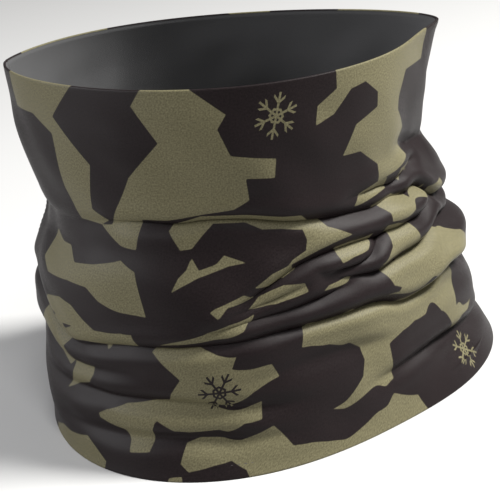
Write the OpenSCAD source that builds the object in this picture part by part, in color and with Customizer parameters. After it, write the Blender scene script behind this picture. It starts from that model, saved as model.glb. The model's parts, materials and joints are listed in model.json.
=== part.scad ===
// Neck gaiter: a tube of two cloth plies, a printed jersey shell and a plain
// lining, sewn together at both edges and turned, so the edges show no stitches.
// The lower half stands gathered in rolls and the upper half is smooth.
// Pulled up over the face, the upper half draws cloth out of the gathered half.
// That stored cloth is a straight sleeve, which slides inside the lower half.
// Frame: origin at the middle of the bottom edge, +Z up, -Y the wearer's front.
// Angles go round the tube from +X towards +Y. The side seam is at the top opening's
// left end.

/* [Top edge] */
// Length of the top opening between its two ends
top_length = 180; // [140:1:230]
// Bulge of the top edge's front half from the line between its ends
top_front = 72; // [45:1:100]
// Bulge of the top edge's back half from the same line
top_back = 46; // [30:1:70]
// Turn of the top opening about +Z, in degrees
top_yaw = -12; // [-30:1:30]

/* [Bottom edge] */
// Mean radius of the bottom edge
foot_radius = 94; // [75:1:120]
// How far the bottom edge is drawn out towards its front left
foot_shift = 4; // [0:0.5:8]
// How far the bottom edge is out of round, as an oval
foot_oval = 3.7; // [0:0.1:8]
// How far the bottom edge is out of round, as three corners
foot_corners = 3.4; // [0:0.1:6]
// How far the bottom edge flares out past the wall above it
foot_flare = 4; // [0:0.5:8]

/* [Heights] */
// Height of the smooth half, above the main fold
upper_height = 57; // [40:1:90]
// Travel of the smooth half when the gaiter is pulled up
pull_up = 80; // [40:1:110]
// Length of the sleeve still inside the lower half at full travel
sleeve_overlap = 5; // [3:1:15]
// Height of the sleeve's lower end above the bottom edge, at rest
sleeve_floor = 3; // [2:1:10]
// How far the waist at the main fold is drawn in from the wall
waist = 4; // [0:0.5:8]
// How much further it is drawn in on the side where the cloth is pulled together
waist_side = 3; // [0:0.5:5]

/* [Cloth] */
// Thickness of the printed shell
shell_ply = 0.6; // [0.4:0.1:1.2]
// Thickness of the lining
lining_ply = 0.6; // [0.4:0.1:1.2]
// Space between the two plies, where the edge threads lie
ply_gap = 0.5; // [0.4:0.1:1]
// Gap between the lower half and the sleeve inside it
sleeve_gap = 1.4; // [1.2:0.1:3]

/* [Gathers] */
// Number of rolls in the gathered half
roll_count = 4; // [2:1:6]
// How far each roll stands out, where the rolls are deepest
roll_depth = 3; // [0:0.5:5]
// How far each roll stands out, where the rolls are flattest
roll_depth_flat = 1; // [0:0.5:3]
// Direction in which the rolls are deepest, in degrees
roll_side = -30; // [-180:5:180]

/* [Threads] */
// Diameter of the thread that closes each edge
edge_thread = 0.4; // [0.2:0.1:0.4]
// Distance of the edge threads from their edge
edge_inset = 5; // [3:0.5:10]
// Width of the flat stitching over each ply's side seam
seam_width = 3; // [2:0.5:5]
// Thickness of the flat stitching over each ply's side seam
seam_thick = 0.3; // [0.2:0.1:0.5]

/* [Label] */
// Height of the care label along the side seam
label_height = 12; // [8:1:30]
// Length of the care label from the seam to its free edge
label_length = 24; // [12:1:32]
// Thickness of the folded care label
label_thick = 0.5; // [0.4:0.1:0.8]
// Distance of the label's top below the main fold
label_drop = 2; // [1:1:10]
// Gap between the side seam's stitching and the label's hinge line
label_root_gap = 0.6; // [0.5:0.1:1]

/* [Hidden] */

print_olive = [0.46, 0.44, 0.33];
lining_grey = [0.28, 0.28, 0.29];
thread_black = [0.10, 0.09, 0.10];
label_white = [0.88, 0.87, 0.84];

// Directions of the bottom edge's three departures from a circle
foot_shift_side = 132;
foot_oval_side = 31;
foot_corner_side = 6;
// Height over which the bottom edge's flare dies out
flare_height = 14;
// Where the top edge's curves start, in degrees before the bottom edge's
tip_turn = 12;
// Offset of the top opening's middle from the bottom edge's middle
top_offset = [-4, 6];
// Flatness of the top opening's front and back curves
top_power = 1.3;
// Lean of the top opening's front and back curves towards its left end
top_lean = 20;
// Height over which the smooth half spreads from the sleeve to its own outline
neck_spread = 50;
// Direction of the side where the waist is drawn in further
waist_turn = -15;
// Direction of the side seam, at the left end of the top opening
seam_side = 180 - tip_turn;

// Height of the main fold, and of the whole tube
fold_z = sleeve_floor + pull_up + sleeve_overlap;
height = fold_z + upper_height;
// Width of an edge: both plies and the space between them
edge_width = shell_ply + ply_gap + lining_ply;
// Distance from an outer face to the sleeve's outer face behind it
sleeve_depth = edge_width + sleeve_gap;
// Distance from an outer face to the middle of the edge thread behind it
thread_depth = shell_ply + ply_gap / 2;
// Height over which the lower half turns in to the waist below the main fold
shoulder = 12;
turn_z = fold_z - shoulder;
// Space between a ply and the stitching or the label's hinge line on it
seam_lift = 0.1;
label_depth = edge_width + seam_lift + seam_thick + label_root_gap;

// Number of points round the tube
around = 60;
function angles() = [for (i = [0 : around - 1]) 360 * i / around];
// How many points to either side of its own angle the sleeve clears
sleeve_reach = 5;
// Number of sides of an edge thread
thread_sides = 6;
// Largest vertical step between two rows of points, and the same at the shoulder
rise = 5.5;
shoulder_rise = shoulder / 4;

// ---- outlines: every one is a point at an angle and a height ----

// The bottom edge as a circle with three slow waves
function foot_r(a) = foot_radius
    + foot_shift * cos(a - foot_shift_side)
    + foot_oval * cos(2 * (a - foot_oval_side))
    + foot_corners * cos(3 * (a - foot_corner_side));
function foot_at(a, z) =
    (foot_r(a) - foot_flare * (1 - exp(-z / flare_height))) * [cos(a), sin(a)];

// The top edge as two bowed curves that meet at a narrow end on each side
function turned(p, a) = [p.x * cos(a) - p.y * sin(a), p.x * sin(a) + p.y * cos(a)];
function bow(s) = (s < 0 ? top_front : top_back) * sign(s) * pow(abs(s), top_power);
function top_at(a) = let (c = cos(a + tip_turn), s = sin(a + tip_turn))
    turned(top_offset + [top_length / 2 * c - top_lean * s * abs(s), bow(s)], top_yaw);

// The wall between the two edges, with no rolls
function wall_at(a, z) = let (w = z / height) (1 - w) * foot_at(a, z) + w * top_at(a);

// The outward direction across the wall, and a point that far inside the wall
function across(a, z) =
    let (t = wall_at(a + 1, z) - wall_at(a - 1, z)) [t.y, -t.x] / norm(t);
function inward(a, z, d) = wall_at(a, z) - d * across(a, z);

// How far a roll stands out at an angle and a height
function roll_here(a) =
    (roll_depth + roll_depth_flat) / 2
    + (roll_depth - roll_depth_flat) / 2 * cos(a - roll_side);
function roll(a, z) =
    roll_here(a) * (0.5 - 0.5 * cos(360 * roll_count * z / fold_z));

// How far the waist is drawn in at an angle
function waist_here(a) = waist + waist_side * pow(max(0, cos(a - waist_turn)), 2);

// The lower half, with or without rolls: d is the distance inside its outer face
function ease(t) = let (c = max(0, min(1, t))) c * c * (3 - 2 * c);
function lower_plain(a, z, d) =
    inward(a, z, d + waist_here(a) * ease((z - turn_z) / shoulder));
function lower_at(a, z, d) = lower_plain(a, z, d - roll(a, z));

// The sleeve's outline, the same at every height: it follows the main fold, and is
// drawn in to clear the walls near it where the lower half is narrower further down
function clearances(a, n, p) =
    [for (z = levels(0, turn_z)) for (k = [-sleeve_reach : sleeve_reach])
        let (b = a + k * 360 / around, m = across(b, z))
        if (m * n > 0.3) (p - lower_plain(b, z, sleeve_depth)) * m / (m * n)];
sleeve_outline = [for (a = angles())
    let (n = across(a, fold_z), p = lower_plain(a, fold_z, sleeve_depth))
    p - n * max(0, max(clearances(a, n, p)))];
function sleeve_at(a) = sleeve_outline[round(a * around / 360)];

// The upper half: the sleeve, which above the main fold spreads to the wall
function upper_at(a, z, d) =
    let (w = ease((z - fold_z) / neck_spread), n = across(a, max(z, fold_z)))
    (1 - w) * (sleeve_at(a) - d * across(a, fold_z)) + w * (wall_at(a, z) - d * n);

// ---- solids ----

// Heights from one level to another in equal steps of at most `step`
function levels(low, high, step = rise) =
    let (n = ceil((high - low) / step)) [for (i = [0 : n]) low + (high - low) * i / n];
// The same, with one level at `mid`, where a thread lies
function levels_past(low, mid, high) =
    concat(levels(low, mid), [for (z = levels(mid, high)) if (z > mid) z]);
// Heights up the lower half from `low`, closer together where it turns in
function lower_levels(low) = concat(levels_past(low, edge_inset, turn_z),
    [for (z = levels(turn_z, fold_z, shoulder_rise)) if (z > turn_z) z]);
// Heights up the upper half to `high`, with none between the sleeve's two ends
function upper_levels(high) =
    concat([sleeve_floor], levels_past(fold_z, height - edge_inset, high));
function flip(v) = [for (i = [len(v) - 1 : -1 : 0]) v[i]];

// A closed ring: rings[i] is the section at one angle, a loop of 3D points that
// goes up the outside and down the inside
module ring(rings) {
    n = len(rings);
    m = len(rings[0]);
    polyhedron(
        points = [for (r = rings) for (p = r) p],
        faces = [for (i = [0 : n - 1]) for (k = [0 : m - 1])
            let (a = i * m + k, b = i * m + (k + 1) % m,
                 c = ((i + 1) % n) * m + (k + 1) % m, d = ((i + 1) % n) * m + k)
            each [[a, b, c], [a, c, d]]]);
}

// A bar: sections[i] is one loop of 3D points, and the ends are closed
module bar(sections) {
    n = len(sections);
    m = len(sections[0]);
    polyhedron(
        points = [for (s = sections) for (p = s) p],
        faces = concat(
            [[for (k = [0 : m - 1]) k]],
            [[for (k = [m - 1 : -1 : 0]) (n - 1) * m + k]],
            [for (i = [0 : n - 2]) for (k = [0 : m - 1])
                let (a = i * m + k, b = i * m + (k + 1) % m)
                each [[a, a + m, b + m], [a, b + m, b]]]));
}

function up(p, z) = [p.x, p.y, z];

// The lower shell, whose bottom edge turns in under the lining
module shell_lower() {
    out = lower_levels(0);
    in = flip(lower_levels(shell_ply));
    color(print_olive)
    ring([for (a = angles()) concat(
        [for (z = out) up(lower_at(a, z, 0), z)],
        [for (z = in) up(lower_at(a, z, shell_ply), z)],
        [up(lower_plain(a, shell_ply, edge_width), shell_ply),
         up(lower_plain(a, 0, edge_width), 0)])]);
}

// The lining behind the lower shell, with no rolls
module lining_lower() {
    up_z = lower_levels(shell_ply);
    color(lining_grey)
    ring([for (a = angles()) concat(
        [for (z = up_z) up(lower_plain(a, z, shell_ply + ply_gap), z)],
        [for (z = flip(up_z)) up(lower_plain(a, z, edge_width), z)])]);
}

// The upper shell and its sleeve, whose top edge turns in over the lining
module shell_upper() {
    out = upper_levels(height);
    in = flip(upper_levels(height - shell_ply));
    color(print_olive)
    ring([for (a = angles()) concat(
        [for (z = out) up(upper_at(a, z, 0), z)],
        [up(upper_at(a, height, edge_width), height),
         up(upper_at(a, height - shell_ply, edge_width), height - shell_ply)],
        [for (z = in) up(upper_at(a, z, shell_ply), z)])]);
}

// The lining inside the upper shell and its sleeve
module lining_upper() {
    up_z = upper_levels(height - shell_ply);
    color(lining_grey)
    ring([for (a = angles()) concat(
        [for (z = up_z) up(upper_at(a, z, shell_ply + ply_gap), z)],
        [for (z = flip(up_z)) up(upper_at(a, z, edge_width), z)])]);
}

// The threads that run all the way round in the space between the plies
module bottom_edge_thread() {
    color(thread_black)
    ring([for (a = angles()) [for (k = [0 : thread_sides - 1])
        let (t = -360 * k / thread_sides, z = edge_inset + edge_thread / 2 * sin(t))
        up(lower_plain(a, z, thread_depth - edge_thread / 2 * cos(t)), z)]]);
}
module top_edge_thread() {
    color(thread_black)
    ring([for (a = angles()) [for (k = [0 : thread_sides - 1])
        let (t = -360 * k / thread_sides,
             z = height - edge_inset + edge_thread / 2 * sin(t))
        up(upper_at(a, z, thread_depth - edge_thread / 2 * cos(t)), z)]]);
}

// Flat stitching over the side seam. face holds a cloth face's points at the seam and at
// the next angle on either side, and n points away from the cloth. Where that face is
// hollow, the strip lies across the hollow.
seam_angles = [for (k = [-1 : 1]) seam_side + k * 360 / around];
function strip(face, n, z) =
    let (rises = [for (q = face) if (q != face[1]) (q - face[1]) * n / norm(q - face[1])],
         lift = seam_lift + seam_width / 2 * max(0, max(rises)),
         t = [-n.y, n.x] * seam_width / 2)
    [for (c = [[1, seam_thick], [-1, seam_thick], [-1, 0], [1, 0]])
        up(face[1] + c[0] * t + (lift + c[1]) * n, z)];
// The stitching stops one row of points short of the edges
function trimmed(v) = [for (i = [1 : len(v) - 2]) v[i]];
lower_seam_levels = trimmed(lower_levels(0));
upper_seam_levels = concat([sleeve_floor + rise], trimmed(upper_levels(height)));

module shell_seam_lower() {
    color(thread_black)
    bar([for (z = lower_seam_levels)
        strip([for (a = seam_angles) lower_at(a, z, 0)], across(seam_side, z), z)]);
}
module lining_seam_lower() {
    color(thread_black)
    bar([for (z = lower_seam_levels)
        strip([for (a = seam_angles) lower_plain(a, z, edge_width)],
            -across(seam_side, z), z)]);
}
module shell_seam_upper() {
    color(thread_black)
    bar([for (z = upper_seam_levels)
        strip([for (a = seam_angles) upper_at(a, z, 0)],
            across(seam_side, max(z, fold_z)), z)]);
}
module lining_seam_upper() {
    color(thread_black)
    bar([for (z = upper_seam_levels)
        strip([for (a = seam_angles) upper_at(a, z, edge_width)],
            -across(seam_side, max(z, fold_z)), z)]);
}

// The folded care label, whose root is caught in the lining's side seam
module care_label() {
    n = across(seam_side, fold_z);
    root = sleeve_at(seam_side) - label_depth * n;
    top_z = fold_z - label_drop;
    color(label_white)
    translate([root.x, root.y, top_z - label_height])
    rotate(atan2(-n.y, -n.x))
    translate([0, -label_thick / 2, 0])
    cube([label_length, label_thick, label_height]);
}

shell_lower();
shell_upper();
lining_lower();
lining_upper();
bottom_edge_thread();
top_edge_thread();
shell_seam_lower();
shell_seam_upper();
lining_seam_lower();
lining_seam_upper();
care_label();
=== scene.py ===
"""Neck gaiter: the cloth, its print and its stitching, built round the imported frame.

Lengths are millimetres until a mesh is made. Angles are degrees round the tube from +X
towards +Y, so the front is at -90, and the side seam is at 168, which is also -192."""
import json
import math

import bpy
import numpy as np
from mathutils import Matrix, Vector


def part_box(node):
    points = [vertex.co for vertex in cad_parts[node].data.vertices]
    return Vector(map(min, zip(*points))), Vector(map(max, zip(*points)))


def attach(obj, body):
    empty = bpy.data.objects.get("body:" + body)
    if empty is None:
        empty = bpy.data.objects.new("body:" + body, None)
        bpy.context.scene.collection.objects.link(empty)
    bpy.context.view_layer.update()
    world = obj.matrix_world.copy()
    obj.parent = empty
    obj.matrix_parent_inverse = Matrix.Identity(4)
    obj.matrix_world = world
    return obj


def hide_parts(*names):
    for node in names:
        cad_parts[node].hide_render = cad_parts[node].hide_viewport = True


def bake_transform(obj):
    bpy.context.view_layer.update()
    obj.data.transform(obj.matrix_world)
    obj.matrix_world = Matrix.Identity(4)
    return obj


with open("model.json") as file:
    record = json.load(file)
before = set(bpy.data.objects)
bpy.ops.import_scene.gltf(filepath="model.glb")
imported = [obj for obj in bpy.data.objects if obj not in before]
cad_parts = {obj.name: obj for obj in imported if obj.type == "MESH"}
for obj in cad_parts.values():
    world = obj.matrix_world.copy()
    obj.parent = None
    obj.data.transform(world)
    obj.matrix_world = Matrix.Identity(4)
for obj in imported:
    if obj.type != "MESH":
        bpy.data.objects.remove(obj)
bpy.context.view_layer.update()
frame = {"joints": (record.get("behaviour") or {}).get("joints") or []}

MM = 0.001


# ---------------------------------------------------------------- outline of the tube
# The same outline as the frame's, so the cloth lies where its solids do. Only the right
# end and a dent in the top edge's front depart from it, both inwards.

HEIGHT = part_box("shell_upper")[1].z / MM
FOOT_RADIUS, FOOT_FLARE, FLARE_HEIGHT = 94.0, 4.0, 14.0
FOOT_WAVES = [(1, 4.0, 132), (2, 3.7, 31), (3, 3.4, 6)]      # count, size, direction
TOP_HALF, TOP_LEAN = 90.0, 20.0       # half the opening's length, lean of its curves
TOP_FRONT, TOP_BACK, TOP_POWER = 72.0, 46.0, 1.3
TOP_MIDDLE = (-4.0, 6.0)
TIP_TURN, TOP_YAW = 12, -12
SEAM = 168.0                     # the side seam, where the cloth's columns start and end
FIRST = SEAM - 360.0


def sin(degrees):
    return np.sin(np.radians(degrees))


def cos(degrees):
    return np.cos(np.radians(degrees))


def ease(t):
    t = np.clip(t, 0.0, 1.0)
    return t * t * (3.0 - 2.0 * t)


def through(x, keys):
    """A smooth value through (place, value) keys, level past its ends."""
    ks = np.array([k for k, _ in keys], float)
    vs = np.array([v for _, v in keys], float)
    slope = np.gradient(vs, ks)
    slope[0] = slope[-1] = 0.0
    x = np.clip(x, ks[0], ks[-1])
    i = np.clip(np.searchsorted(ks, x, side="right") - 1, 0, len(ks) - 2)
    h = ks[i + 1] - ks[i]
    t = (x - ks[i]) / h
    return ((2 * t**3 - 3 * t**2 + 1) * vs[i] + (t**3 - 2 * t**2 + t) * h * slope[i]
            + (3 * t**2 - 2 * t**3) * vs[i + 1] + (t**3 - t**2) * h * slope[i + 1])


def foot_outline(a, z):
    """The bottom edge: a circle with three slow waves and a small flare."""
    r = FOOT_RADIUS
    for count, size, side in FOOT_WAVES:
        r = r + size * cos(count * (a - side))
    r = r - FOOT_FLARE * (1.0 - np.exp(-z / FLARE_HEIGHT))
    return r * cos(a), r * sin(a)


def top_outline(a):
    """The top edge: two bowed curves that meet in a narrow end on each side."""
    c, s = cos(a + TIP_TURN), sin(a + TIP_TURN)
    x = TOP_MIDDLE[0] + TOP_HALF * c - TOP_LEAN * s * np.abs(s)
    bow = np.where(s < 0, TOP_FRONT, TOP_BACK)
    y = TOP_MIDDLE[1] + bow * np.sign(s) * np.abs(s) ** TOP_POWER
    return x * cos(TOP_YAW) - y * sin(TOP_YAW), x * sin(TOP_YAW) + y * cos(TOP_YAW)


# How far the right end of the tube is pulled in towards the middle: (height, pull)
RIGHT_PULL = [(50, 0), (60, 2), (66, 3.6), (72, 4.6), (80, 6.8), (90, 9.8), (98, 11.2),
              (104, 10.8), (112, 10), (120, 8), (130, 5.2), (140, 2.1), (145, 0.2)]
RIGHT_END, RIGHT_SPREAD = -12, 34
# The top edge's front is pushed back a little, short of its right end
DENT_AT, DENT_SPREAD, DENT = -36, 13, 5
DENT_START, DENT_RISE = 95, 50


def wall(a, z):
    """The tube's wall, with no creases, at an angle and a height."""
    w = z / HEIGHT
    fx, fy = foot_outline(a, z)
    tx, ty = top_outline(a)
    x, y = (1 - w) * fx + w * tx, (1 - w) * fy + w * ty
    x = x - through(z, RIGHT_PULL) * np.exp(-((a - RIGHT_END) / RIGHT_SPREAD) ** 2)
    y = y + DENT * ease((z - DENT_START) / DENT_RISE) * np.exp(-((a - DENT_AT) / DENT_SPREAD) ** 2)
    return x, y


def on_tube(a, z, out):
    """The point at an angle and a height, `out` millimetres outside the tube's wall."""
    x, y = wall(a, z)
    x0, y0 = wall(a - 1.0, z)
    x1, y1 = wall(a + 1.0, z)
    length = np.hypot(x1 - x0, y1 - y0)
    return np.stack([x + out * (y1 - y0) / length, y - out * (x1 - x0) / length, z], -1)


# ---------------------------------------------------------------- folds

def wrapped(a):
    return (np.asarray(a, float) + 270.0) % 360.0 - 270.0


def around(a, keys):
    """A smooth value round the tube through (angle, value) keys from -270 to 90."""
    return through(wrapped(a), keys)


# How far the cloth lies inside the plain wall, without its creases: (height, inward)
# keys for four sides, and the angles at which each side's keys hold.
BACK = [(0, 0), (60, 0), (80, 2), (96, 4), (112, 3), (130, 1), (145, 0)]
LEFT = [(0, 0.2), (5, -0.8), (12, -2.4), (20, -2.8), (30, -1.8), (40, -1.2), (50, -2),
        (60, -1.4), (70, 0.6), (75, 3.4), (80, 6.4), (86, 7.4), (92, 6.2), (100, 4.2),
        (110, 2.4), (120, 1.4), (130, 0.9), (145, 0)]
FRONT = [(0, 0), (60, 0), (75, 1), (85, 3), (94, 4), (104, 3), (120, 0.8), (135, 0), (145, 0)]
RIGHT = [(0, -1.4), (8, 0), (14, 2.4), (22, 1.6), (34, 0.8), (45, 2.8), (51, 0.6), (57, -1.8),
         (64, 2.6), (70, 2.8), (78, 0.6), (86, 0), (98, 2), (112, 1), (130, 0.2), (145, 0)]
SIDES = [(-270, BACK), (-215, BACK), (-185, LEFT), (-165, LEFT), (-125, FRONT), (-60, FRONT),
         (-22, RIGHT), (6, RIGHT), (50, BACK), (90, BACK)]

# The creases, from the top down. Each key is (angle, height, depth, hang): how deep the
# cloth is pinched in, and how far the roll above hangs down over the crease.
# "low" and "high" are how far the pinch reaches below and above the crease.
CREASES = [
    dict(low=2.4, high=1.8, keys=[     # a narrow pleat over the main fold's right end
        (-76, 97, 0, 0), (-68, 97.3, 1.4, 1), (-62, 97.5, 2.6, 2.2), (-55, 97.8, 3.6, 3),
        (-46, 96.9, 4.4, 3.6), (-38, 97.4, 4.6, 3.4), (-33, 97, 3.6, 2.4), (-27, 96, 1.6, 0.8),
        (-20, 95, 0, 0)]),
    dict(low=3.0, high=4.5, crown=0.1, keys=[     # a soft dent above it
        (-52, 108, 0, 0), (-42, 107, 1.4, 0.2), (-33, 104.5, 2.6, 0.6), (-24, 101, 2.6, 0.8),
        (-12, 99, 1.6, 0.5), (6, 98, 0, 0)]),
    dict(low=3.6, high=2.4, keys=[     # the main fold, under the smooth half
        (-270, 88, 4, 2), (-225, 89, 3.6, 1.6), (-202, 89, 1.4, 0.4), (-185, 89, 1.2, 0.2),
        (-165, 89.5, 1.2, 0.3),
        (-148, 91, 0.8, 0), (-136, 94, 1, 0.6), (-126, 96, 2.6, 2.6), (-118, 96.3, 3.8, 3.6),
        (-109, 97.8, 4, 4), (-100, 97.3, 4.2, 4.2), (-90, 95, 4.6, 4.4), (-80, 93.4, 5, 4.8),
        (-70, 92.2, 5.4, 5.2), (-60, 91.3, 5.8, 5.4), (-50, 91.3, 6, 5.4), (-40, 89.8, 6.4, 5),
        (-30, 88.5, 6.8, 4.4), (-25, 84.5, 6.4, 4), (-21, 80.5, 6, 3.6), (-12, 76, 5.5, 3),
        (10, 75, 4.5, 2.4), (50, 80, 4, 2), (90, 88, 4, 2)]),
    dict(low=3.4, high=2.2, keys=[
        (-107, 65, 0, 0), (-100, 68, 2, 1.8), (-93, 73, 3.6, 3.2), (-87, 77, 4.4, 4),
        (-80, 79.6, 5, 4.6), (-70, 81, 5.6, 5), (-60, 80.5, 6, 5.2), (-53, 79.8, 6, 5.2),
        (-43, 79.4, 6.2, 5), (-35, 78.8, 6, 4.4), (-29, 79.5, 4, 2.6), (-24, 80, 1.6, 1),
        (-20, 79, 0, 0)]),
    dict(low=2.6, high=1.8, keys=[
        (-84, 72.5, 0, 0), (-77, 72, 2, 1.6), (-73, 72.5, 3.4, 2.6), (-67, 72.8, 4.2, 3.4),
        (-62, 73.8, 4, 3.2), (-58, 76.2, 2.6, 2), (-54, 77.5, 0, 0)]),
    dict(low=3.2, high=2.2, keys=[
        (-84, 69, 0, 0), (-76, 68.5, 2, 1.4), (-69, 67.4, 3.8, 2.6), (-62, 66.4, 4.8, 3.4),
        (-55, 66.4, 5.4, 3.8), (-50, 67, 5.6, 4), (-43, 67.2, 5.8, 4), (-37, 67.6, 6, 4.2),
        (-29, 69.3, 6, 4.2), (-20, 69, 5.6, 3.6), (-10, 66.5, 4.6, 2.8), (4, 65, 3, 1.6),
        (24, 64, 0, 0)]),
    dict(low=2.4, high=1.8, keys=[
        (-108, 61.5, 0, 0), (-101, 64, 2.2, 1.8), (-94, 66.5, 3, 2.4), (-88, 68.5, 2.4, 1.6),
        (-81, 69.5, 0, 0)]),
    dict(low=3.0, high=2.2, keys=[
        (-116, 56, 0, 0), (-107, 58, 2.4, 1.8), (-98, 60.5, 4, 3.4), (-90, 62, 4.2, 3.6),
        (-80, 63.4, 3.6, 3), (-72, 64, 2, 1.6), (-64, 63, 0, 0)]),
    dict(low=4.4, high=2.8, keys=[     # the long fold round the middle of the gathers
        (-270, 59, 2.4, 1.2), (-225, 61, 3.4, 2), (-190, 62, 4, 2.6), (-175, 61.5, 4.4, 3),
        (-167, 57, 4, 2.6), (-160, 51.5, 3.4, 2), (-155, 46.5, 3, 1.6), (-149, 44.5, 2.6, 1.2),
        (-140, 46.5, 2.4, 1.2), (-130, 49, 3, 1.8), (-120, 50.5, 3.8, 3), (-110, 52, 4.4, 4),
        (-100, 53.5, 5, 4.6), (-90, 54.5, 6, 5), (-80, 55, 6.6, 5.6), (-70, 54.8, 6.8, 5.8),
        (-60, 54, 6.6, 5.6), (-50, 49.9, 6.2, 5.2), (-42.5, 49.3, 6.2, 5.2), (-36, 49.9, 6.8, 5.2),
        (-30, 52.4, 7.4, 5), (-19, 50.5, 7, 4.6), (-8, 46.5, 5.4, 4), (10, 46, 4.4, 3),
        (40, 51, 3.4, 2), (90, 59, 2.4, 1.2)]),
    dict(low=4.6, high=3.4, keys=[     # the second fold of the left side
        (-270, 39, 1.6, 0.6), (-225, 41, 2.8, 1.4), (-190, 43, 3.4, 2), (-175, 43, 3.6, 2.2),
        (-168, 41.5, 3.4, 2), (-160, 37.5, 3, 1.6), (-151, 35.5, 2.8, 1.2), (-146, 36.3, 2.4, 0.9),
        (-136, 37.8, 1.6, 0.5), (-124, 38.5, 0, 0), (-30, 38, 0, 0), (20, 37, 0.8, 0.2),
        (90, 39, 1.6, 0.6)]),
    dict(low=6.5, high=6.0, keys=[     # a broad hollow across the lower right front
        (-104, 35, 0, 0), (-90, 37.5, 1.4, 0), (-76, 38, 2, 0), (-62, 36, 1.6, 0),
        (-48, 34, 0, 0)]),
    dict(low=4.5, high=4.5, keys=[     # the hollow over the long ridge, lower left
        (-176, 27, 0, 0), (-160, 26, 1.8, 0), (-145, 27.5, 3, 0.6), (-133, 28.5, 3.4, 1.2),
        (-120, 28.5, 3.4, 1.2), (-108, 27.5, 3, 1), (-98, 26, 2.2, 0.5), (-88, 24.5, 1.2, 0),
        (-76, 24, 0, 0)]),
    dict(low=3.6, high=3.0, keys=[     # the pleat that runs to the right end of the foot
        (-70, 20, 0, 0), (-60, 20.5, 1, 0.2), (-54, 21, 1.8, 0.6), (-43, 21.5, 2.6, 1),
        (-33, 21.5, 3, 1.4), (-23, 21, 3.2, 1.6), (-13, 18.5, 2.8, 1.4), (5, 17, 1.8, 0.8),
        (30, 16, 0, 0)]),
    dict(low=4.0, high=4.0, keys=[     # the hollow under the long ridge
        (-162, 14, 0, 0), (-146, 14, 1.4, 0), (-130, 14.5, 2.2, 0), (-118, 15, 2.6, 0),
        (-105, 14.5, 2.2, 0), (-95, 13, 1.4, 0), (-80, 12, 0, 0)]),
]

HANG = 1.2            # how far every roll hangs, beside its keys
HANG_START = 0.8      # height over which a roll's lip turns back over its crease
HANG_END = 5.0        # height over which the hanging dies out up the roll
CROWN = 0.26          # how far a roll stands out, as a share of its crease's depth
# Where the rolls beside a crease stand out: height above it, spread, share of CROWN
ROLLS = [(4.0, 3.0, 1.0), (-5.5, 3.5, 0.7)]
PINCH_POWER = 1.5     # the higher, the flatter a crease's bottom and the steeper its sides

# Heights over which the creases die out towards the bottom edge and the top edge, and
# the same for the ripples
CREASE_FADE = (5.0, 16.0)
RIPPLE_FADE = (12.0, 26.0)

# Slow unevenness of hanging cloth: waves round the tube, wave height, lean, phase, size.
RIPPLES = [(5, 90, 0.6, 20, 0.5), (9, 60, -1.4, 75, 0.35), (14, 38, 2.2, 140, 0.22),
           (23, 27, -3.0, 10, 0.12), (7, 33, 4.0, 250, 0.2)]

# The side seam draws the shell in a little.
SEAM_DIP = 0.5
SEAM_HALF = 1.6       # degrees


def faded(t, heights):
    """0 at both edges of the tube and 1 between them, past the two heights."""
    low, top = heights
    return ease(t / low) * ease((HEIGHT - t) / top)


def drawn_in(a, t):
    """How far the sides, the seam and the ripples move the wall at each height t."""
    place = wrapped(a)
    out = np.zeros(np.broadcast(a, t).shape)
    for (start, first), (end, second) in zip(SIDES[:-1], SIDES[1:]):
        here = (place >= start) & (place < end)
        share = ease((place - start) / (end - start))
        out -= here * ((1 - share) * through(t, first) + share * through(t, second))
    calm = faded(t, RIPPLE_FADE)
    for count, wave, lean, phase, size in RIPPLES:
        out += calm * size * sin(count * a + 360.0 * t / wave + lean * t + phase)
    from_seam = np.minimum(a - FIRST, SEAM - a) / SEAM_HALF
    return out - SEAM_DIP * np.exp(-from_seam ** 2)


# The creases are deeper than their keys on the side where the cloth is pulled together.
GATHERED_AT, GATHERED_SPREAD, GATHERED = -32, 26, 0.4


def crease_at(crease, a):
    """A crease's height, its depth and its roll's hang at each angle."""
    at, pinch, hang = (around(a, [(k[0], k[i]) for k in crease["keys"]]) for i in (1, 2, 3))
    more = 1 + GATHERED * np.exp(-((a - GATHERED_AT) / GATHERED_SPREAD) ** 2)
    return at, more * np.maximum(pinch, 0.0), HANG * more * np.maximum(hang, 0.0)


def profile(a, steps=1500):
    """The cloth's column at each angle, from the bottom up: (out, height) arrays."""
    t = np.linspace(0.0, HEIGHT, steps)[None, :]
    a = np.asarray(a, float)[:, None]
    edge = faded(t, CREASE_FADE)
    out = drawn_in(a, t)
    z = np.broadcast_to(t, out.shape).copy()
    for crease in CREASES:
        at, pinch, hang = crease_at(crease, a)
        x = t - at
        reach = np.where(x < 0, crease["low"], crease["high"])
        out -= edge * pinch * np.exp(-np.abs(x / reach) ** PINCH_POWER)
        crown = sum(share * np.exp(-((x - up) / spread) ** 2) for up, spread, share in ROLLS)
        out += edge * crease.get("crown", CROWN) * pinch * crown
        up = np.maximum(x, 0.0)
        z -= edge * hang * (1 - np.exp(-(up / HANG_START) ** 2)) * np.exp(-up / HANG_END)
    return out, z


def along(curve_out, curve_z, rows, soften=30, spacing=0.1):
    """Evens out one column: the same curve, softened, with `rows` points equally far
    apart along it. Returns them and the curve's length."""
    def resample(o, z, n):
        s = np.concatenate([[0.0], np.cumsum(np.hypot(np.diff(o), np.diff(z)))])
        at = np.linspace(0.0, s[-1], n)
        return np.interp(at, s, o), np.interp(at, s, z), s[-1]

    length = np.hypot(np.diff(curve_out), np.diff(curve_z)).sum()
    o, z, _ = resample(curve_out, curve_z, int(length / spacing))
    for _ in range(soften):
        o[1:-1] = (o[:-2] + 2 * o[1:-1] + o[2:]) / 4
        z[1:-1] = (z[:-2] + 2 * z[1:-1] + z[2:]) / 4
    return resample(o, z, rows)


# ---------------------------------------------------------------- cloth grids
# A cloth is a grid of points, column by column round the tube and row by row up it, with
# each point's length of cloth down from the top edge.

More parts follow.
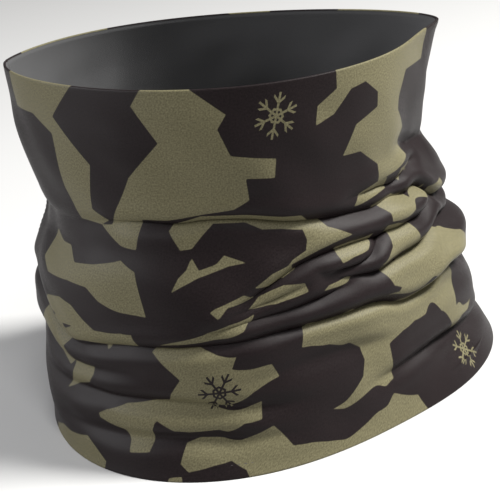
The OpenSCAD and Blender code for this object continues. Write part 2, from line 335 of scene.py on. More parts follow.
COLUMNS = 600
ROWS = 380
RIM = 0.55            # radius of the shell's turned edge
TUCK = 7.0            # length of the shell's allowance behind the lining
LINING_GAP = 0.35     # from the shell's allowance to the lining
SEAT = 1.5            # height over which the lining leaves the shell's allowance
RIM_STEPS = 6
TUCK_STEPS = 4
ANGLES = FIRST + 360.0 * np.arange(COLUMNS) / COLUMNS
CLOTH_RADIUS = 88.0   # turns an angle round the tube into millimetres of cloth


def turned_edge(o, z, side):
    """Points that carry a column's end over the edge and back behind it; side 1 is up."""
    turn = np.radians(np.linspace(0, 180, RIM_STEPS + 1)[1:])
    back = TUCK * np.arange(1, TUCK_STEPS + 1) / TUCK_STEPS
    o_all = np.concatenate([o - RIM + RIM * np.cos(turn), np.full(TUCK_STEPS, o - 2 * RIM)])
    z_all = np.concatenate([z + side * RIM * np.sin(turn), z - side * back])
    return o_all, z_all


def edge_lengths():
    """The cloth's length from where an edge starts to turn to each of its points."""
    turn = RIM * np.radians(np.linspace(0, 180, RIM_STEPS + 1)[1:])
    return np.concatenate([turn, turn[-1] + TUCK * np.arange(1, TUCK_STEPS + 1) / TUCK_STEPS])


def shell_grid():
    """Points, cloth lengths, and how far out of the wall each point lies."""
    out, height = profile(ANGLES)
    points, lengths, outs = [], [], []
    for i, a in enumerate(ANGLES):
        inside = (height[i] > RIM) & (height[i] < HEIGHT - RIM)
        first, last = np.argmax(inside), len(inside) - np.argmax(inside[::-1])
        o, z, length = along(out[i, first:last], height[i, first:last], ROWS)
        z[0], z[-1] = RIM, HEIGHT - RIM
        low_o, low_z = turned_edge(o[0], z[0], -1)
        top_o, top_z = turned_edge(o[-1], z[-1], 1)
        o = np.concatenate([low_o[::-1], o, top_o])
        z = np.concatenate([low_z[::-1], z, top_z])
        points.append(on_tube(a, z, o))
        body = np.linspace(length, 0.0, ROWS)
        hem = edge_lengths()
        lengths.append(np.concatenate([length + hem[::-1], body, -hem]))
        outs.append(o)
    return np.array(points), np.array(lengths), np.array(outs)


LINING_REACH = 1.5    # how much wider than the shell's its creases are
LINING_DEPTH = 0.9    # and how deep, as a share of the shell's


def lining_grid():
    """The lining: smoother than the shell, but pushed in behind each of its creases."""
    t = np.linspace(0.0, HEIGHT, ROWS)[None, :]
    a = ANGLES[:, None]
    out = drawn_in(a, t)
    edge = faded(t, CREASE_FADE)
    for crease in CREASES:
        at, pinch, _ = crease_at(crease, a)
        x = (t - at) / (LINING_REACH * max(crease["low"], crease["high"]))
        out -= edge * LINING_DEPTH * pinch * np.exp(-(x ** 2))
    out -= 2 * RIM + LINING_GAP * faded(t, (SEAT, SEAT))
    z = RIM + t / HEIGHT * (HEIGHT - 2 * RIM)
    points = np.array([on_tube(ang, z[0], out[i]) for i, ang in enumerate(ANGLES)])
    return points, np.broadcast_to(HEIGHT - z, out.shape)


shell_points, shell_lengths, shell_outs = shell_grid()
lining_points, lining_lengths = lining_grid()


def from_seam(points, lengths, u, s, lift):
    """Points on a cloth u millimetres round from the side seam at cloth length s, lifted
    off its outer side, and the outward directions there."""
    def at(u, s):
        column = np.degrees(u / CLOTH_RADIUS) / 360.0 * COLUMNS
        i = np.floor(column).astype(int)
        share = (column - i)[:, None]
        sides = []
        for k in (i, i + 1):
            sides.append(np.array([[np.interp(-v, -lengths[c % COLUMNS], points[c % COLUMNS, :, d])
                                    for d in range(3)] for c, v in zip(k, s)]))
        return (1 - share) * sides[0] + share * sides[1]

    u, s = np.broadcast_arrays(np.asarray(u, float), np.asarray(s, float))
    step = 0.4
    round_way = at(u + step, s) - at(u - step, s)
    up_way = at(u, s - step) - at(u, s + step)
    normal = np.cross(round_way, up_way)
    normal /= np.linalg.norm(normal, axis=1)[:, None]
    return at(u, s) + np.reshape(lift, (-1, 1)) * normal, normal


# ---------------------------------------------------------------- the print
# Every olive patch is a polygon of (angle, height) corners, as they lie on the worn
# shape. The ground is a blackish brown. The back repeats the front.

OLIVE = [
    # the smooth half
    [(-172, 146), (-141, 146), (-150.5, 132), (-139.3, 115.5), (-140.5, 98), (-135.5, 94.5),
     (-138.5, 92), (-146.5, 92), (-150, 104), (-152, 125), (-160, 131), (-171, 131)],
    [(-123, 146), (-115.5, 146), (-104, 135.5), (-106, 130.5), (-103, 120.5), (-92, 117.5),
     (-92.3, 110.5), (-99.5, 111.5), (-98.7, 103), (-102.5, 100), (-109.7, 98.7),
     (-119.5, 96.3), (-126, 96.2), (-127, 85.3), (-131.5, 86), (-138.5, 92), (-134.7, 93),
     (-128.5, 112), (-120.3, 125.7), (-126.5, 139.2)],
    [(-76, 146), (-32, 146), (-33, 134), (-46.5, 135), (-49, 126), (-48.5, 121), (-41, 112),
     (-44, 108.5), (-40, 104), (-37, 100), (-47, 97.5), (-57, 97), (-57.5, 104), (-63, 109),
     (-66, 112), (-72.5, 112.5), (-68.5, 123), (-60.5, 126.8), (-61, 132.5), (-66, 138),
     (-71, 137), (-76, 129.3), (-81.5, 126.7), (-81, 133.7), (-75.5, 138.5)],
    # the rolls under it
    [(-43.5, 97), (-36, 97), (-33, 96), (-34, 93), (-42, 91.5), (-44.5, 93)],
    [(-64, 95.5), (-58, 97), (-52, 96.8), (-50.5, 92), (-60, 91.5), (-67, 91)],
    [(-59, 88.3), (-48, 88.7), (-42.5, 86.5), (-39.5, 83.5), (-31.5, 85), (-26, 84), (-27, 82),
     (-32, 80), (-42, 80), (-53.5, 80.3), (-53.5, 83.5), (-55.5, 86.3)],
    [(-119, 92.3), (-117, 95), (-111, 97.8), (-100, 97.3), (-90, 94.8), (-85, 94.2),
     (-83.3, 91.8), (-79, 90), (-77, 87.3), (-69.5, 82), (-80, 80), (-89, 76.5),
     (-87.5, 78.7), (-84, 81), (-83.5, 84.7), (-84.5, 88.5), (-90, 90), (-95.5, 91),
     (-100, 94), (-108, 94.5), (-110.5, 90.8), (-113, 86.2), (-115.8, 85.7)],
    [(-113, 83.2), (-111, 78.7), (-107, 80.3), (-105, 83.3), (-99.5, 80), (-104, 79.3),
     (-111, 76.2), (-117.3, 71.3), (-115.8, 76.2), (-114, 79)],
    [(-163, 82), (-157, 79.5), (-152, 80), (-148.5, 75), (-140.5, 77), (-135, 79),
     (-131.5, 80.8), (-127, 77.5), (-124, 61), (-129.5, 61.5), (-138, 64), (-142.5, 68),
     (-150, 68), (-161, 67), (-166, 71)],
    [(-55.5, 79.4), (-50, 78.3), (-45.5, 76), (-42.5, 72), (-41.5, 68), (-48.5, 67),
     (-55.5, 67), (-60, 66.7), (-55, 71), (-54, 75.4)],
    [(-75, 78.7), (-69.5, 79), (-61, 78.5), (-62, 75.5), (-64, 73.8), (-69.5, 73.6),
     (-73.5, 72.8), (-74.5, 76)],
    [(-79, 63.8), (-77.5, 65.5), (-72, 66), (-68, 65.3), (-71, 64), (-75, 63.6)],
    [(-99, 62.5), (-96.5, 66.5), (-90, 69.8), (-84.5, 69), (-83.5, 65.7), (-87.5, 64.3),
     (-92, 63.2)],
    [(-108, 63.8), (-107, 65), (-100, 68.5), (-97.5, 67), (-104, 64.8), (-106, 61)],
    [(-121, 50.5), (-109.5, 55.3), (-103.5, 58.3), (-97.5, 61), (-100, 55.3), (-107.5, 53),
     (-115.8, 51.3)],
    [(-97.5, 70.5), (-93, 75), (-88, 77), (-86.5, 74.5), (-90, 72), (-94, 70)],
    [(-24, 81.5), (-14, 81), (-12, 77), (-22, 76.5)],
    [(-61, 64.5), (-51.5, 63.5), (-45, 66), (-37.5, 67), (-29.5, 66.5), (-21.5, 62.5),
     (-13.5, 57.5), (-10, 54), (-19, 52.5), (-31, 51.5), (-36.5, 49.8), (-42.5, 49.3),
     (-49, 49.6), (-59, 53.5), (-54, 53), (-53, 54.5), (-56, 56.7), (-57.5, 60.4)],
    # the lower left
    [(-161, 58), (-153.5, 60.5), (-148, 59.5), (-143, 55), (-139.5, 52.5), (-131, 54),
     (-127.8, 54), (-126.5, 49.3), (-134.5, 48), (-136, 45), (-137, 47.5), (-143.5, 47),
     (-150.5, 45), (-154, 40), (-150, 36), (-152, 33), (-160, 37), (-168, 44), (-165, 50)],
    [(-150, 35.5), (-141, 37), (-141, 34), (-142.5, 30.5), (-148, 27.5), (-153, 23.5),
     (-150, 30)],
    [(-123, 47.5), (-120.5, 49.5), (-111, 50), (-106.5, 47.3), (-102, 46.3), (-103, 41.7),
     (-100, 40.8), (-93.5, 41.5), (-91.5, 36.3), (-98, 32), (-105, 27), (-119.5, 26),
     (-118, 32), (-115.5, 38), (-119, 43)],
    [(-138.5, 20.5), (-136, 22.7), (-130, 26.5), (-119.5, 29.3), (-95.8, 27.2),
     (-95.8, 20.5), (-100, 20), (-104, 17.2), (-106, 18.3), (-113.5, 17.8), (-117, 18.3),
     (-121.5, 22.5), (-122.5, 18.3), (-122.3, 13.5), (-123, 10), (-128.3, 8.8), (-128.7, 13),
     (-130.5, 16.5), (-138, 19)],
    [(-163, 3), (-156, 7), (-151, 7), (-142.5, 10), (-139.5, 7.5), (-135.5, 3), (-136, -1),
     (-163, -1)],
    [(-119, -1), (-117.5, 1.5), (-114.5, 2), (-113.5, -1)],
    # the lower right
    [(-84, 52.5), (-70, 53), (-60, 50.5), (-51.5, 48), (-38.5, 48.5), (-30.5, 49.3),
     (-26, 48.5), (-23, 43), (-24.5, 30.5), (-20, 27.5), (-13, 27), (-17, 24), (-33, 33.5),
     (-40.5, 35.8), (-46, 36.5), (-51.5, 35.5), (-57, 33), (-55.5, 18.5), (-66.5, 18),
     (-77, 17.3), (-67, 25), (-66, 31), (-67, 36), (-71, 40.5), (-77.5, 42.8), (-85.5, 45)],
    [(-114, 13.5), (-110.7, 15.3), (-105, 14.5), (-100.7, 13), (-93, 17.5), (-88, 8),
     (-80.5, 6.5), (-66, 6.8), (-61.5, 9), (-56.5, 13), (-47.5, 7.5), (-43, -1), (-97, -1),
     (-99.5, 2.8), (-103, 6.7), (-113, 3.7), (-115, 6.5)],
]

# Splinters of the ground within an olive patch
SPLINTERS = [[(-158.5, 53.5), (-156, 52.5), (-157.5, 51)],
             [(-152.5, 50.5), (-147.5, 51.5), (-151, 49)]]

PRINT_BLUR = 0.12     # half the width of the print's edges
PRINT_REACH = 4.0     # distances to a patch's edge are kept up to this many millimetres
OVER_EDGE = 4.0       # how far a patch that meets an edge runs on past it


def to_cloth(angle, height):
    """Where a visible point lies on the flat cloth: (millimetres round, cloth length)."""
    i = int(round((angle - FIRST) / 360.0 * COLUMNS)) % COLUMNS
    z, s, out = shell_points[i, :, 2], shell_lengths[i], shell_outs[i]
    rise = np.radians(angle) * CLOTH_RADIUS
    if height >= HEIGHT - RIM:
        return rise, -OVER_EDGE
    if height <= RIM:
        return rise, s[TUCK_STEPS] + OVER_EDGE
    crossing = np.nonzero((z[:-1] <= height) & (z[1:] > height) & (s[1:] >= 0))[0]
    k = crossing[np.argmax(out[crossing])]
    share = (height - z[k]) / (z[k + 1] - z[k])
    return rise, s[k] + share * (s[k + 1] - s[k])


def distance_inside(polygon, u, s):
    """Millimetres from each point to the polygon's edge, positive inside it."""
    nearest = np.full(u.shape, 1e9)
    inside = np.zeros(u.shape, bool)
    for (x0, y0), (x1, y1) in zip(polygon, polygon[1:] + polygon[:1]):
        dx, dy = x1 - x0, y1 - y0
        t = np.clip(((u - x0) * dx + (s - y0) * dy) / (dx * dx + dy * dy), 0.0, 1.0)
        nearest = np.minimum(nearest, np.hypot(u - x0 - t * dx, s - y0 - t * dy))
        if dy:
            inside ^= ((y0 > s) != (y1 > s)) & (u < dx * (s - y0) / dy + x0)
    return np.where(inside, nearest, -nearest)


def print_distances(patches):
    """For each point of the shell's grid, its greatest distance inside any patch."""
    best = np.full(shell_lengths.shape, -PRINT_REACH)
    around_mm = np.radians(ANGLES) * CLOTH_RADIUS
    for patch in patches:
        for turn in (0.0, 180.0, -180.0):
            polygon = [to_cloth(a + turn, z) for a, z in patch]
            low, high = np.min(polygon, axis=0), np.max(polygon, axis=0)
            columns = np.nonzero((around_mm > low[0] - PRINT_REACH)
                                 & (around_mm < high[0] + PRINT_REACH))[0]
            for i in columns:
                s = shell_lengths[i]
                near = (s > low[1] - PRINT_REACH) & (s < high[1] + PRINT_REACH)
                d = distance_inside(polygon, np.full(near.sum(), around_mm[i]), s[near])
                best[i, near] = np.maximum(best[i, near], d)
    return np.minimum(best, PRINT_REACH)


# ---------------------------------------------------------------- meshes

def quad_mesh(name, co, quads):
    """A smooth mesh from points in millimetres and rows of four indices."""
    mesh = bpy.data.meshes.new(name)
    mesh.vertices.add(len(co))
    mesh.vertices.foreach_set("co", (np.asarray(co).reshape(-1) * MM).astype(np.float32))
    mesh.loops.add(quads.size)
    mesh.loops.foreach_set("vertex_index", quads.reshape(-1).astype(np.int32))
    mesh.polygons.add(len(quads))
    mesh.polygons.foreach_set("loop_start", np.arange(0, quads.size, 4, dtype=np.int32))
    mesh.polygons.foreach_set("loop_total", np.full(len(quads), 4, dtype=np.int32))
    mesh.update(calc_edges=True)
    mesh.polygons.foreach_set("use_smooth", np.ones(len(quads), bool))
    piece = bpy.data.objects.new(name, mesh)
    bpy.context.collection.objects.link(piece)
    return piece


def cloth_tube(name, points, lengths, inside_out=False):
    """A tube of quads from a cloth grid. Its first UV map is the place on the flat cloth,
    its second the angle and the height; both are in metres."""
    columns, rows = points.shape[:2]
    i, j = np.meshgrid(np.arange(columns), np.arange(rows - 1), indexing="ij")
    k = (i + 1) % columns
    quads = np.stack([i * rows + j, k * rows + j, k * rows + j + 1, i * rows + j + 1], -1)
    corner_a = np.stack([i, i + 1, i + 1, i], -1) * 360.0 / columns + FIRST
    corner_s = lengths.reshape(-1)[quads]
    quads, corner_a, corner_s = (x.reshape(-1, 4) for x in (quads, corner_a, corner_s))
    if inside_out:
        quads, corner_a, corner_s = (x[:, ::-1] for x in (quads, corner_a, corner_s))
    piece = quad_mesh(name, points.reshape(-1, 3), quads)
    corner_z = points[:, :, 2].reshape(-1)[quads]
    for layer, up in (("cloth", -corner_s), ("upright", corner_z)):
        uv = piece.data.uv_layers.new(name=layer)
        flat = np.stack([np.radians(corner_a) * CLOTH_RADIUS, up], -1) * MM
        uv.data.foreach_set("uv", flat.reshape(-1).astype(np.float32))
    return piece


def threads(name, runs, radius, sides=6):
    """Round threads along runs of (points, outward directions)."""
    co, quads, start = [], [], 0
    spin = np.radians(360.0 * np.arange(sides) / sides)
    for path, normal in runs:
        ahead = np.gradient(path, axis=0)
        ahead /= np.linalg.norm(ahead, axis=1)[:, None]
        side = np.cross(ahead, normal)
        side /= np.linalg.norm(side, axis=1)[:, None]
        up = np.cross(side, ahead)
        ring = path[:, None] + radius * (side[:, None] * np.cos(spin)[None, :, None]
                                         + up[:, None] * np.sin(spin)[None, :, None])
        n = len(path)
        i, j = np.meshgrid(np.arange(n - 1), np.arange(sides), indexing="ij")
        k = (j + 1) % sides
        quads.append(start + np.stack([i * sides + j, i * sides + k, (i + 1) * sides + k,
                                       (i + 1) * sides + j], -1).reshape(-1, 4))
        co.append(ring.reshape(-1, 3))
        start += n * sides
    return quad_mesh(name, np.concatenate(co), np.concatenate(quads))


shell = cloth_tube("outer_shell", shell_points, shell_lengths)
lining = cloth_tube("inner_lining", lining_points, lining_lengths, inside_out=True)

distances = np.minimum(print_distances(OLIVE), -print_distances(SPLINTERS))
layer = shell.data.attributes.new("print", "FLOAT", "POINT")
layer.data.foreach_set("value", distances.reshape(-1).astype(np.float32))


# ---------------------------------------------------------------- stitching

THREAD_RADIUS = 0.17
STITCH = 2.2          # length of one stitch along a seam
SEAM_WIDTH = 4.4      # between the two needle rows of a seam
SEAM_END = 7.0        # how far from the edges a seam's stitching stops


def seam_runs(points, lengths, side):
    """A flat seam: a zigzag thread between two rows of straight stitches. side is 1 on
    the cloth's outer face and -1 on its inner one."""
    longest = lengths[0].max() - SEAM_END
    turns = int((longest - SEAM_END) / STITCH)
    half = SEAM_WIDTH / 2
    part = np.linspace(0.0, turns, turns * 8 + 1)
    s = SEAM_END + part * STITCH
    swing = 2.0 * np.abs(2.0 * (part - np.floor(part)) - 1.0) - 1.0
    lift = THREAD_RADIUS * (1.1 + 0.9 * (1.0 - swing ** 2))
    runs = [from_seam(points, lengths, half * swing, s, side * lift)]
    for row in (-half, half):
        lift = THREAD_RADIUS * (0.2 + 1.6 * np.abs(np.sin(np.pi * part)))
        runs.append(from_seam(points, lengths, row, s, side * lift))
    return [(path, side * normal) for path, normal in runs]


shell_seam = threads("shell_seam_stitches", seam_runs(shell_points, shell_lengths, 1),
                     THREAD_RADIUS)
lining_seam = threads("lining_seam_stitches", seam_runs(lining_points, lining_lengths, -1),
                      THREAD_RADIUS)


# The line of stitches that closes each edge, between the plies
EDGE_INSET = 5.0
EDGE_STITCH = 2.5
EDGE_SWAY = 0.12      # how far its thread sways between the plies
EDGE_POINTS = 900


def edge_run(z):
    a = np.linspace(FIRST, SEAM, EDGE_POINTS)
    across = -RIM - EDGE_SWAY * np.sin(np.radians(a) * CLOTH_RADIUS / EDGE_STITCH * 2 * math.pi)
    path = np.array([on_tube(v, z, w) for v, w in zip(a, across)])
    return path, np.tile([0.0, 0.0, 1.0], (len(a), 1))


top_stitches = threads("top_edge_stitches", [edge_run(HEIGHT - EDGE_INSET)], THREAD_RADIUS)
bottom_stitches = threads("bottom_edge_stitches", [edge_run(EDGE_INSET)], THREAD_RADIUS)


# ---------------------------------------------------------------- care label

LABEL_FOLD = 0.32     # half the space between the folded label's two leaves
LABEL_SWEEP = 3.0     # how far its free end curves aside
LABEL_CURL = 0.3      # how far it waves down its height
LABEL_ROWS = 18
LEAF_POINTS = 40


def label_mesh():
    """A ribbon folded in two at its free end, its two cut ends caught in the seam."""
    low, high = (np.array(v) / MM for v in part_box("care_label"))
    hinge = next(j for j in frame["joints"] if j["name"] == "label_flap")
    root = np.array(hinge["pos_m"][:2]) / MM
    middle = (low + high)[:2] / 2
    length = 2 * np.hypot(*(middle - root))
    way = (middle - root) / np.hypot(*(middle - root))
    aside = np.array([-way[1], way[0]])
    out = np.linspace(0.0, 1.0, LEAF_POINTS) * (length - LABEL_FOLD)
    turn = np.radians(np.linspace(90, -90, 9)[1:-1])
    x = np.concatenate([out, out[-1] + LABEL_FOLD * np.cos(turn), out[::-1]])
    y = np.concatenate([np.full(LEAF_POINTS, LABEL_FOLD), LABEL_FOLD * np.sin(turn),
                        np.full(LEAF_POINTS, -LABEL_FOLD)]) * ease(x / 5.0 + 0.15)
    z = np.linspace(low[2], high[2], LABEL_ROWS)
    share = x / length
    bend = LABEL_SWEEP * share ** 2
    co = []
    for k, height in enumerate(z):
        curl = LABEL_CURL * math.sin(2.6 * k / LABEL_ROWS + 0.4) * share ** 1.5
        xy = root + np.outer(x, way) + np.outer(y + bend + curl, aside)
        co.append(np.column_stack([xy, np.full(len(x), height)]))
    n = len(x)
    i, j = np.meshgrid(np.arange(LABEL_ROWS - 1), np.arange(n - 1), indexing="ij")
    quads = np.stack([i * n + j, i * n + j + 1, (i + 1) * n + j + 1, (i + 1) * n + j], -1)
    piece = quad_mesh("care_label_ribbon", np.concatenate(co), quads.reshape(-1, 4))
    return piece, length / 1000, (high[2] - low[2]) / 1000


label, label_length, label_height = label_mesh()


# ---------------------------------------------------------------- materials

class Shader:
    """A Principled material with short calls for its math and texture nodes."""

    def __init__(self, name):
        self.material = bpy.data.materials.new(name)
        self.material.use_nodes = True
        self.nodes = self.material.node_tree.nodes
        self.links = self.material.node_tree.links
        self.surface = self.nodes["Principled BSDF"]

    def put(self, socket, value):
        if isinstance(value, bpy.types.NodeSocket):
            self.links.new(value, socket)
        else:
            socket.default_value = value

    def add(self, kind, **inputs):
        node = self.nodes.new(kind)
        for name, value in inputs.items():
            self.put(node.inputs[name.replace("_", " ")], value)
        return node

    def math(self, operation, *values):
        node = self.nodes.new("ShaderNodeMath")
        node.operation = operation
        for socket, value in zip(node.inputs, values):
            self.put(socket, value)
        return node.outputs[0]

    def ramp(self, value, low, high, to_low=0.0, to_high=1.0):
        node = self.add("ShaderNodeMapRange", Value=value, From_Min=low, From_Max=high,
                        To_Min=to_low, To_Max=to_high)
        return node.outputs["Result"]

    def mix(self, share, first, second):
        node = self.nodes.new("ShaderNodeMix")
        node.data_type = "RGBA"
        for socket, value in ((node.inputs[0], share), (node.inputs[6], first),
                              (node.inputs[7], second)):
            self.put(socket, value)
        return node.outputs[2]

    def uv_map(self, name):
        node = self.nodes.new("ShaderNodeUVMap")
        node.uv_map = name
        return node.outputs[0]

    def noise(self, vector, scale, detail=2.0):
        node = self.add("ShaderNodeTexNoise", Vector=vector, Scale=scale, Detail=detail)
        return node.outputs["Fac"]

    def settings(self, **inputs):
        for name, value in inputs.items():
            self.put(self.surface.inputs[name.replace("_", " ")], value)


def knit(shader, uv, wale, course):
    """The height of plain knit loops: rows of small Vs, `wale` wide and `course` high."""
    place = shader.add("ShaderNodeSeparateXYZ", Vector=uv)
    across = shader.math("DIVIDE", place.outputs[0], wale)
    from_middle = shader.math("ABSOLUTE", shader.math(
        "SUBTRACT", shader.math("FRACT", across), 0.5))
    leaning = shader.math("ADD", shader.math("DIVIDE", place.outputs[1], course),
                          shader.math("MULTIPLY", from_middle, 1.3))
    loops = shader.math("SINE", shader.math("MULTIPLY", leaning, 2 * math.pi))
    column = shader.math("SINE", shader.math("MULTIPLY", from_middle, 2 * math.pi))
    return shader.math("MULTIPLY_ADD", loops, 0.4, column)


def snowflake(shader, uv, angle, height, lean, size):
    """1 on the lines of a six-armed snowflake on the tube, 0 elsewhere. Each arm is a
    stem with one pair of barbs; all six are drawn by folding the angle round."""
    place = shader.add("ShaderNodeSeparateXYZ", Vector=uv)
    x = shader.math("SUBTRACT", place.outputs[0], math.radians(angle) * CLOTH_RADIUS * MM)
    y = shader.math("SUBTRACT", place.outputs[1], height * MM)
    radius = shader.math("DIVIDE", shader.math("SQRT", shader.math(
        "ADD", shader.math("MULTIPLY", x, x), shader.math("MULTIPLY", y, y))), size * MM)
    bearing = shader.math("ADD", shader.math("ARCTAN2", y, x), math.radians(lean + 720))
    sector = math.radians(60)
    turned = shader.math("ABSOLUTE", shader.math(
        "SUBTRACT", shader.math("MODULO", bearing, sector), sector / 2))
    stem = shader.math("MULTIPLY", radius, shader.math("COSINE", turned))
    aside = shader.math("MULTIPLY", radius, shader.math("SINE", turned))
    on_stem = shader.math("LESS_THAN", aside, SNOW_LINE)
    on_stem = shader.math("MULTIPLY", on_stem, shader.math("LESS_THAN", stem, 1.0))
    barb = shader.math("ABSOLUTE", shader.math(
        "SUBTRACT", shader.math("SUBTRACT", stem, aside), SNOW_BARB))
    on_barb = shader.math("MULTIPLY", shader.math("LESS_THAN", barb, SNOW_LINE * 1.4),
                          shader.math("LESS_THAN", aside, SNOW_BARB_REACH))
    ring = shader.math("ABSOLUTE", shader.math("SUBTRACT", stem, SNOW_HEART))
    on_ring = shader.math("LESS_THAN", ring, SNOW_LINE)
    return shader.math("MAXIMUM", on_stem, shader.math("MAXIMUM", on_barb, on_ring))


SNOW_LINE = 0.05      # half a line's width, as a share of the snowflake's radius
SNOW_BARB = 0.56      # where a barb leaves its stem
SNOW_BARB_REACH = 0.26
SNOW_HEART = 0.26     # the small hexagon round the middle
# Where the snowflakes are: angle, height, lean and radius
EMBLEMS = [(-92, 133, 12, 8.5), (-106, 33, 25, 8.0), (-22, 10, 5, 7.5)]


def printed_jersey():
    m = Shader("printed_jersey")
    uv = m.uv_map("cloth")
    upright = m.uv_map("upright")
    edge = m.nodes.new("ShaderNodeAttribute")
    edge.attribute_name = "print"
    olive = m.ramp(edge.outputs["Fac"], -PRINT_BLUR, PRINT_BLUR)
    lines = 0.0
    for angle, height, lean, size in EMBLEMS:
        for turn in (0, 180):
            flake = snowflake(m, upright, angle + turn, height, lean, size)
            lines = m.math("MAXIMUM", lines, flake)
    drawn = m.math("ABSOLUTE", m.math("SUBTRACT", olive, lines))
    slow = m.noise(uv, 28.0, 3.0)
    fine = m.noise(uv, 1500.0, 2.0)
    dark = m.mix(slow, (0.0075, 0.0052, 0.0055, 1), (0.012, 0.0084, 0.0088, 1))
    light = m.mix(slow, (0.092, 0.083, 0.048, 1), (0.118, 0.107, 0.062, 1))
    colour = m.mix(drawn, dark, light)
    # Painted sparkle: the fine noise brightens and darkens the base colour in specks, standing in
    # for glints off the knit's fibres.
    painted_sparkle = m.ramp(fine, 0.3, 0.7, 0.72, 1.32)
    colour_with_painted_sparkle = m.add("ShaderNodeHueSaturation", Color=colour, Value=painted_sparkle)
    loops = m.math("MULTIPLY_ADD", fine, 0.8, knit(m, uv, 0.62 * MM, 0.48 * MM))
    bump = m.add("ShaderNodeBump", Strength=0.35, Distance=0.06 * MM, Height=loops)
    m.settings(Base_Color=colour_with_painted_sparkle.outputs[0], Normal=bump.outputs[0],
               Roughness=m.ramp(fine, 0.3, 0.7, 0.36, 0.52),
               IOR=1.2, Specular_IOR_Level=0.5)
    return m.material


def lining_jersey():
    m = Shader("lining_jersey")
    uv = m.uv_map("cloth")
    fine = m.noise(uv, 1800.0, 2.0)
    slow = m.noise(uv, 20.0, 3.0)
    colour = m.mix(m.math("MULTIPLY_ADD", fine, 0.6, m.math("MULTIPLY", slow, 0.4)),
                   (0.044, 0.044, 0.045, 1), (0.070, 0.070, 0.072, 1))
    loops = m.math("MULTIPLY_ADD", fine, 1.2, knit(m, uv, 0.9 * MM, 0.7 * MM))
    bump = m.add("ShaderNodeBump", Strength=0.4, Distance=0.08 * MM, Height=loops)
    m.settings(Base_Color=colour, Normal=bump.outputs[0],
               Roughness=m.ramp(fine, 0.3, 0.7, 0.65, 0.85),
               Sheen_Weight=0.08, Sheen_Roughness=0.5, Specular_IOR_Level=0.2)
    return m.material


def sewing_thread():
    m = Shader("sewing_thread")
    place = m.add("ShaderNodeTexCoord").outputs["Object"]
    fine = m.noise(place, 2500.0, 2.0)
    colour = m.mix(fine, (0.018, 0.015, 0.016, 1), (0.055, 0.046, 0.048, 1))
    bump = m.add("ShaderNodeBump", Strength=0.5, Distance=0.05 * MM, Height=fine)
    m.settings(Base_Color=colour, Normal=bump.outputs[0],
               Roughness=m.ramp(fine, 0.3, 0.7, 0.4, 0.6), Sheen_Weight=0.2)
    return m.material


def label_satin():
    m = Shader("label_satin")
    place = m.add("ShaderNodeTexCoord").outputs["Object"]
    parts = m.add("ShaderNodeSeparateXYZ", Vector=place)
    weft = m.math("SINE", m.math("MULTIPLY", parts.outputs[2], 2 * math.pi / (0.3 * MM)))
    fine = m.noise(place, 1600.0, 2.0)
    colour = m.mix(fine, (0.70, 0.68, 0.63, 1), (0.82, 0.80, 0.75, 1))
    bump = m.add("ShaderNodeBump", Strength=0.4, Distance=0.04 * MM,
                 Height=m.math("ADD", weft, fine))
    m.settings(Base_Color=colour, Normal=bump.outputs[0],
               Roughness=m.ramp(fine, 0.3, 0.7, 0.3, 0.45), Sheen_Weight=0.1)
    return m.material


def plain_floor():
    m = Shader("studio_floor")
    m.settings(Base_Color=(0.42, 0.42, 0.42, 1), Roughness=0.9, Specular_IOR_Level=0.1)
    return m.material


shell.data.materials.append(printed_jersey())
lining.data.materials.append(lining_jersey())
thread_material = sewing_thread()
for piece in (shell_seam, lining_seam, top_stitches, bottom_stitches):
    piece.data.materials.append(thread_material)
label.data.materials.append(label_satin())


# ---------------------------------------------------------------- hiding and riding

for piece, slot, nodes in (
        (shell, "printed_jersey", ("shell_lower", "shell_upper")),
        (lining, "lining_jersey", ("lining_lower", "lining_upper")),
        (shell_seam, "sewing_thread", ("shell_seam_lower", "shell_seam_upper")),
        (lining_seam, "sewing_thread", ("lining_seam_lower", "lining_seam_upper")),
        (top_stitches, "sewing_thread", ("top_edge_thread",)),
        (bottom_stitches, "sewing_thread", ("bottom_edge_thread",)),
        (label, "label_satin", ("care_label",))):
    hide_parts(*nodes)

for piece in (shell, lining, shell_seam, lining_seam):
    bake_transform(piece)
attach(top_stitches, "upper")
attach(bottom_stitches, "lower")
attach(label, "label")


# ---------------------------------------------------------------- camera, light, floor

CAMERA_TARGET = (0.001, -0.054, 0.0725)
CAMERA_DISTANCE = 0.58
CAMERA_RISE, CAMERA_ROLL = 22.0, -8.5


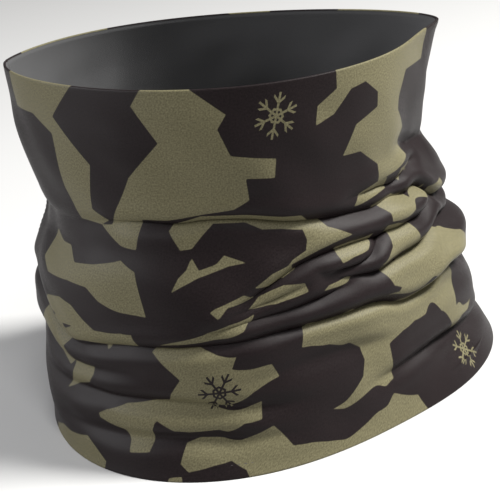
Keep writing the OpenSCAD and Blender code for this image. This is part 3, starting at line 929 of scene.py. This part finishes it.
def add_camera():
    data = bpy.data.cameras.new("camera")
    data.sensor_width = 36.0
    data.lens = 108.8
    data.shift_x = -0.0148
    data.shift_y = 0.018
    data.clip_start = 0.01
    camera = bpy.data.objects.new("camera", data)
    bpy.context.collection.objects.link(camera)
    rise = math.radians(CAMERA_RISE)
    away = Vector((0.0, -math.cos(rise), math.sin(rise)))
    camera.location = Vector(CAMERA_TARGET) + CAMERA_DISTANCE * away
    turn = away.to_track_quat("Z", "Y").to_matrix()
    roll = Matrix.Rotation(math.radians(CAMERA_ROLL), 3, "Z")
    camera.rotation_euler = (turn @ roll).to_euler()
    bpy.context.scene.camera = camera


def add_light(name, place, size, power, colour, aim=(0.0, 0.0, 0.07)):
    data = bpy.data.lights.new(name, "AREA")
    data.energy = power
    data.size = size
    data.color = colour
    light = bpy.data.objects.new(name, data)
    bpy.context.collection.objects.link(light)
    light.location = place
    light.rotation_euler = (Vector(place) - Vector(aim)).to_track_quat("Z", "Y").to_euler()


add_camera()
add_light("key", (0.95, -0.15, 1.2), 0.3, 62.0, (1.0, 0.99, 0.96))
add_light("fill", (-1.2, 0.1, 0.6), 0.6, 13.0, (0.98, 0.98, 1.0))
add_light("top", (0.3, -0.8, 1.4), 0.5, 9.0, (1.0, 1.0, 1.0))

world = bpy.data.worlds.new("studio")
bpy.context.scene.world = world
world.use_nodes = True
surroundings = world.node_tree.nodes["Background"].inputs
surroundings["Color"].default_value = (1.0, 1.0, 1.0, 1.0)
surroundings["Strength"].default_value = 0.25
bpy.context.scene.view_settings.view_transform = "Standard"

FLOOR = 4.0           # half the floor's side
floor_mesh = bpy.data.meshes.new("floor")
floor_corners = [(-FLOOR, -FLOOR, 0), (FLOOR, -FLOOR, 0), (FLOOR, FLOOR, 0), (-FLOOR, FLOOR, 0)]
floor_mesh.from_pydata(floor_corners, [], [(0, 1, 2, 3)])
floor = bpy.data.objects.new("floor", floor_mesh)
bpy.context.collection.objects.link(floor)
floor.data.materials.append(plain_floor())
